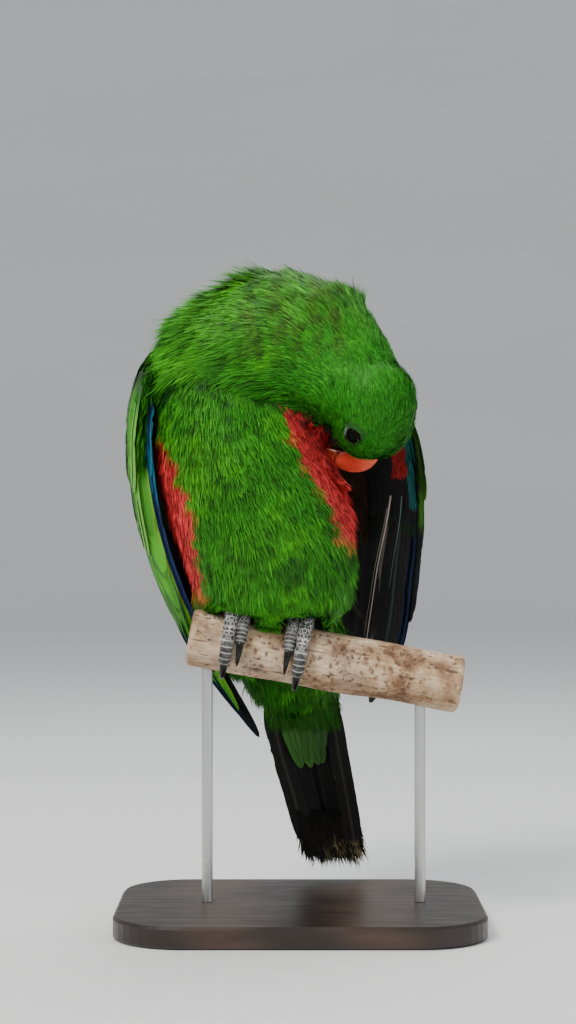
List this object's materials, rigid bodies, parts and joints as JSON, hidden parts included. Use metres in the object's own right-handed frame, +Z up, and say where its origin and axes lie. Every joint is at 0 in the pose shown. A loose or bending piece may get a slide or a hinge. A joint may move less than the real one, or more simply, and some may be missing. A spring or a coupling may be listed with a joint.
{
  "type": "parrot model",
  "caption": "Life-size green parrot with red flanks and an orange bill, preening under its raised left wing on a cut branch that a plain stand holds up.",
  "frame": {"origin": "centre of the stand base's underside, on the floor", "axes": "+Z up, -Y the way the bird's belly faces, +X towards the bird's left"},
  "size_m": [0.2, 0.1786, 0.3574],
  "materials": {
    "torso_plumage": "soft, streaked feathers, red on the flanks",
    "neck_plumage": "soft, fine feathers",
    "head_plumage": "short, sleek feathers",
    "eye": "glossy and near black",
    "bill_upper": "smooth orange-red horn with a soft shine",
    "bill_lower": "smooth black horn",
    "wing_plumage": "green coverts with bright edges, blue-black flight feathers",
    "underwing_plumage": "black flight feathers seen from below, red and teal at the front edge",
    "tail_plumage": "black from below with pale frayed tips, green coverts",
    "foot_skin": "pale grey skin set with dark scales",
    "claw": "black horn with a soft shine",
    "branch_wood": "peeled, blotched wood",
    "stand_wood": "dark, satin wood",
    "stand_metal": "brushed"
  },
  "bodies": {
    "root": {"torso": "torso_plumage", "neck": "neck_plumage", "head": "head_plumage", "eye_right": "eye", "eye_left": "eye", "bill_upper": "bill_upper", "bill_lower": "bill_lower", "wing_right": "wing_plumage", "wing_left": "underwing_plumage", "tail": "tail_plumage", "leg_right": "foot_skin", "foot_right": "foot_skin", "claw_right_inner_front": "claw", "claw_right_outer_front": "claw", "claw_right_inner_back": "claw", "claw_right_outer_back": "claw", "leg_left": "foot_skin", "foot_left": "foot_skin", "claw_left_inner_front": "claw", "claw_left_outer_front": "claw", "claw_left_inner_back": "claw", "claw_left_outer_back": "claw", "perch": "branch_wood", "stand_base": "stand_wood", "stand_rod_right": "stand_metal", "stand_rod_left": "stand_metal"}
  },
  "joints": []
}
